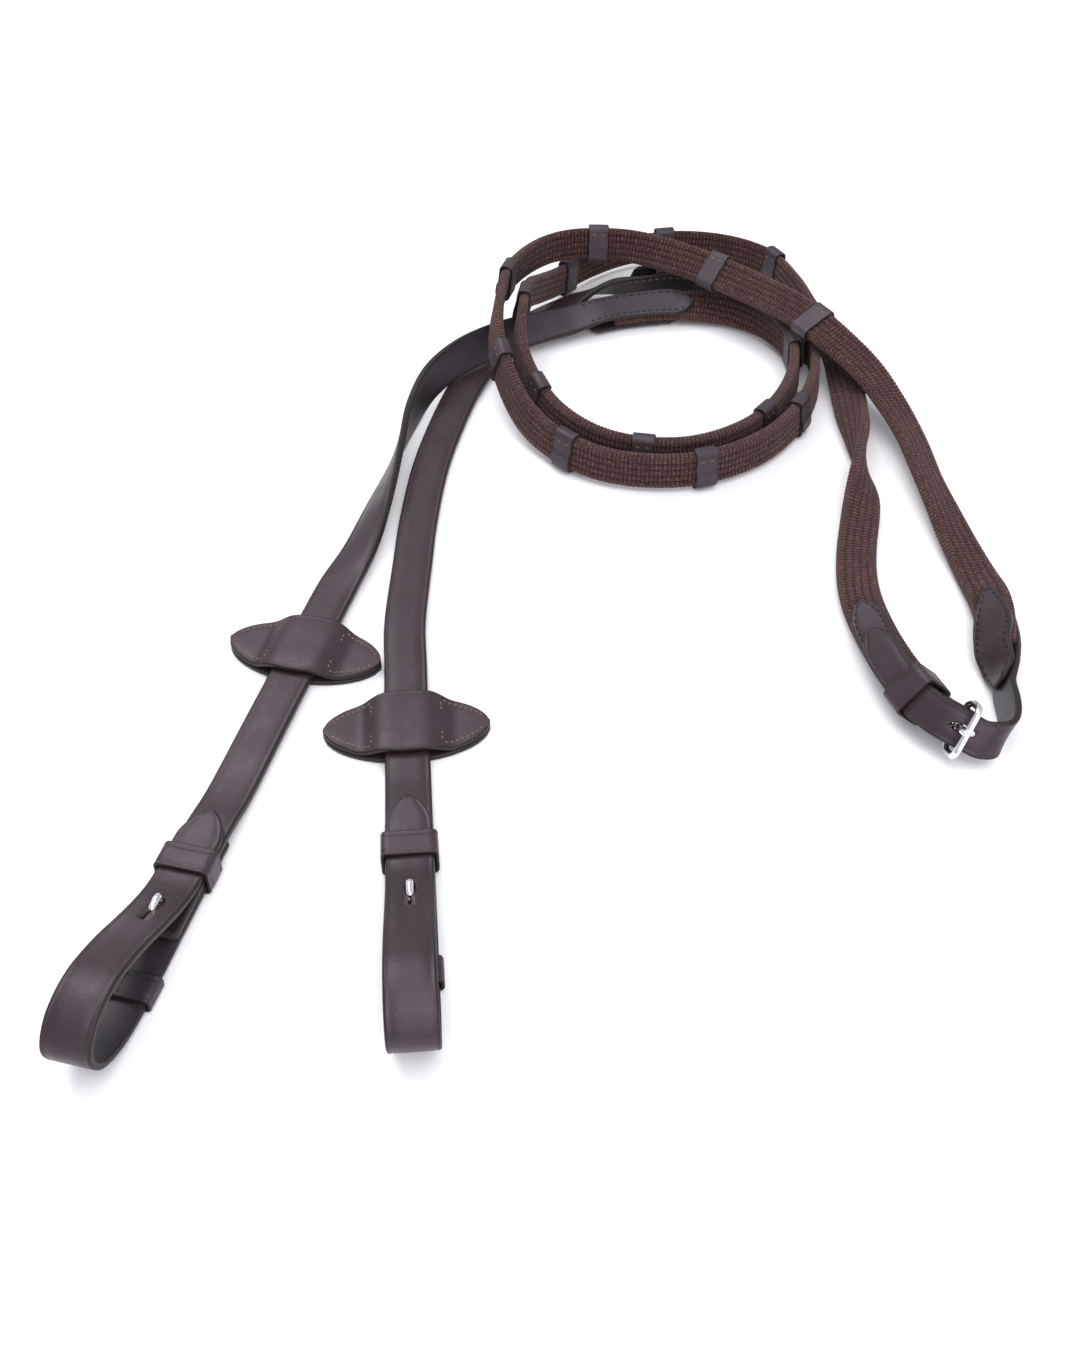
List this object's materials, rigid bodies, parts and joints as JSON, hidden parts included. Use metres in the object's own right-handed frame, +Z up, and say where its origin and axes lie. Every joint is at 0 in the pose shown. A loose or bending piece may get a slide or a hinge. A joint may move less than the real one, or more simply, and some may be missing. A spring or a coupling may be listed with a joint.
{
  "type": "horse reins",
  "caption": "Horse reins of ribbed web with leather ends, hand stops, martingale stops, hook-stud billets and a joining buckle, laid in a loose coil.",
  "frame": {"origin": "middle of the coil's footprint, on the floor plane", "axes": "+Z up from the floor; +Y from the bit ends towards the far side of the coil; +X towards the buckle"},
  "size_m": [0.325, 0.4955, 0.0392],
  "materials": {
    "leather": "semi-gloss, fine grain, dark purple-brown",
    "stop_leather": "matt, grey purple-brown",
    "web": "ribbed web, brown",
    "chrome": "polished"
  },
  "bodies": {
    "reins": {"buckle_frame": "chrome", "buckle_keeper": "leather", "left_chape": "leather", "right_point_strap": "leather", "right_point_cover": "leather", "left_web": "web", "left_front_strap": "leather", "left_splice_cover": "leather", "left_billet": "leather", "left_hook_stud": "chrome", "left_hand_stop_1": "stop_leather", "left_hand_stop_2": "stop_leather", "left_hand_stop_3": "stop_leather", "left_hand_stop_4": "stop_leather", "left_hand_stop_5": "stop_leather", "left_hand_stop_6": "stop_leather", "left_hand_stop_7": "stop_leather", "left_hand_stop_8": "stop_leather", "left_hand_stop_9": "stop_leather", "right_web": "web", "right_front_strap": "leather", "right_splice_cover": "leather", "right_billet": "leather", "right_hook_stud": "chrome", "right_hand_stop_1": "stop_leather", "right_hand_stop_2": "stop_leather", "right_hand_stop_3": "stop_leather", "right_hand_stop_4": "stop_leather", "right_hand_stop_5": "stop_leather", "right_hand_stop_6": "stop_leather", "right_hand_stop_7": "stop_leather", "right_hand_stop_8": "stop_leather", "right_hand_stop_9": "stop_leather"},
    "left_wing_stop": {"left_wing_stop_under": "leather", "left_wing_stop_over": "leather"},
    "right_wing_stop": {"right_wing_stop_under": "leather", "right_wing_stop_over": "leather"},
    "left_upper_loop": {"left_billet_keeper": "leather"},
    "right_upper_loop": {"right_billet_keeper": "leather"},
    "left_lower_loop": {"left_lower_keeper": "leather"},
    "right_lower_loop": {"right_lower_keeper": "leather"},
    "tongue": {"buckle_tongue": "chrome"}
  },
  "joints": [
    {"name": "left_wing_stop_slide", "type": "slide", "parent": "reins", "child": "left_wing_stop", "axis": [0.2352, 0.972, 0], "range_m": [-0.018, 0.001]},
    {"name": "right_wing_stop_slide", "type": "slide", "parent": "reins", "child": "right_wing_stop", "axis": [-0.0819, 0.9966, 0], "range_m": [-0.01, 0.012]},
    {"name": "left_billet_keeper_slide", "type": "slide", "parent": "reins", "child": "left_upper_loop", "axis": [0.2392, 0.971, 0], "range_m": [0, 0.008]},
    {"name": "right_billet_keeper_slide", "type": "slide", "parent": "reins", "child": "right_upper_loop", "axis": [-0.084, 0.9965, 0], "range_m": [0, 0.008]},
    {"name": "left_lower_keeper_slide", "type": "slide", "parent": "reins", "child": "left_lower_loop", "axis": [0.2392, 0.971, 0], "range_m": [0, 0.01]},
    {"name": "right_lower_keeper_slide", "type": "slide", "parent": "reins", "child": "right_lower_loop", "axis": [-0.084, 0.9965, 0], "range_m": [0, 0.01]},
    {"name": "tongue_hinge", "type": "hinge", "parent": "reins", "child": "tongue", "pos_m": [0.12633, -0.1076, 0.0109], "axis": [-0.4358, -0.4725, -0.766], "range_deg": [0, 12]}
  ]
}
